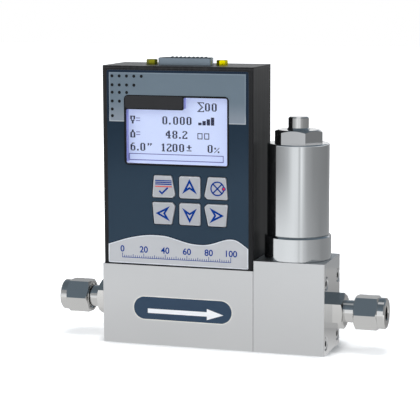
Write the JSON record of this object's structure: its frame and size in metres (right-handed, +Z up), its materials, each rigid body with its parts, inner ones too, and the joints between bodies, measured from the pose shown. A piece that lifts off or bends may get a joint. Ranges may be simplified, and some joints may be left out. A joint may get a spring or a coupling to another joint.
{
  "type": "gas mass flow meter with control valve",
  "caption": "Thermal gas mass flow meter on steel blocks with tube fittings, a solenoid control valve and a display head with a keypad and a multi-way connector.",
  "frame": {"origin": "middle of the flat base of the whole meter, between the outer ends of the two tube fittings", "axes": "+X along the gas flow from inlet to outlet, +Y from the display to the rear cover, +Z up"},
  "size_m": [0.154, 0.03, 0.13],
  "materials": {
    "blasted_steel": "fine satin stainless steel",
    "turned_steel": "bright turned stainless steel",
    "screw_steel": "stainless screws",
    "sensor_steel": "thin drawn tube and gauze",
    "spring_steel": "drawn spring wire",
    "seal_rubber": "black elastomer",
    "copper_wire": "enamelled copper winding",
    "shield_aluminium": "plain sheet",
    "black_anodised": "black anodised, satin",
    "overlay_film": "printed polyester film",
    "clear_pane": "clear",
    "display_white": "pale moulded frame",
    "display_glass": "backlit glass",
    "light_panel": "edge lit panel",
    "board_green": "circuit board",
    "nickel_brass": "nickel plated",
    "key_grey": "light grey key",
    "bobbin_plastic": "moulded",
    "switch_plastic": "moulded",
    "connector_steel": "tin plated",
    "connector_black": "moulded",
    "contact_gold": "gold plated",
    "yellow_zinc": "yellow passivated"
  },
  "bodies": {
    "meter": {"flow_body": "blasted_steel", "valve_block": "blasted_steel", "block_seal": "seal_rubber", "block_screws": "screw_steel", "inlet_screen": "sensor_steel", "laminar_element": "turned_steel", "inlet_fitting_body": "turned_steel", "inlet_nut": "turned_steel", "inlet_front_ferrule": "turned_steel", "inlet_back_ferrule": "turned_steel", "outlet_fitting_body": "turned_steel", "outlet_nut": "turned_steel", "outlet_front_ferrule": "turned_steel", "outlet_back_ferrule": "turned_steel", "port_seals": "seal_rubber", "sensor_base": "blasted_steel", "sensor_tube": "sensor_steel", "sensor_windings": "copper_wire", "sensor_cover": "shield_aluminium", "sensor_seals": "seal_rubber", "body_top_screws": "screw_steel", "valve_seat": "turned_steel", "guide_tube": "turned_steel", "valve_seal": "seal_rubber", "pole_piece": "turned_steel", "return_spring": "spring_steel", "valve_base_ring": "turned_steel", "ring_screws": "screw_steel", "valve_can": "turned_steel", "coil_bobbin": "bobbin_plastic", "coil_winding": "copper_wire", "valve_nut": "turned_steel", "case_shell": "black_anodised", "rear_cover": "black_anodised", "rear_cover_screws": "screw_steel", "top_plate": "black_anodised", "base_bracket": "shield_aluminium", "front_overlay": "overlay_film", "display_window": "clear_pane", "display_frame": "display_white", "lcd_glass": "display_glass", "backlight": "light_panel", "display_board": "board_green", "key_switches": "switch_plastic", "main_board": "board_green", "board_posts": "nickel_brass", "board_screws": "screw_steel", "connector_shell": "connector_steel", "connector_insulator": "connector_black", "connector_contacts": "contact_gold", "jackscrews": "yellow_zinc"},
    "menu_key": {"key_menu": "key_grey"},
    "up_key": {"key_up": "key_grey"},
    "valve_key": {"key_valve": "key_grey"},
    "left_key": {"key_left": "key_grey"},
    "down_key": {"key_down": "key_grey"},
    "right_key": {"key_right": "key_grey"},
    "valve_plunger": {"plunger": "turned_steel", "plunger_pad": "seal_rubber"}
  },
  "joints": [
    {"name": "key_menu_press", "type": "slide", "parent": "meter", "child": "menu_key", "axis": [0, 1, 0], "range_m": [0, 0.0005], "stiffness_N_per_m": 3000},
    {"name": "key_up_press", "type": "slide", "parent": "meter", "child": "up_key", "axis": [0, 1, 0], "range_m": [0, 0.0005], "stiffness_N_per_m": 3000},
    {"name": "key_valve_press", "type": "slide", "parent": "meter", "child": "valve_key", "axis": [0, 1, 0], "range_m": [0, 0.0005], "stiffness_N_per_m": 3000},
    {"name": "key_left_press", "type": "slide", "parent": "meter", "child": "left_key", "axis": [0, 1, 0], "range_m": [0, 0.0005], "stiffness_N_per_m": 3000},
    {"name": "key_down_press", "type": "slide", "parent": "meter", "child": "down_key", "axis": [0, 1, 0], "range_m": [0, 0.0005], "stiffness_N_per_m": 3000},
    {"name": "key_right_press", "type": "slide", "parent": "meter", "child": "right_key", "axis": [0, 1, 0], "range_m": [0, 0.0005], "stiffness_N_per_m": 3000},
    {"name": "plunger_lift", "type": "slide", "parent": "meter", "child": "valve_plunger", "axis": [0, 0, 1], "range_m": [0, 0.0005], "stiffness_N_per_m": 500, "springref_m": -0.002, "deforming": ["return_spring"]}
  ]
}
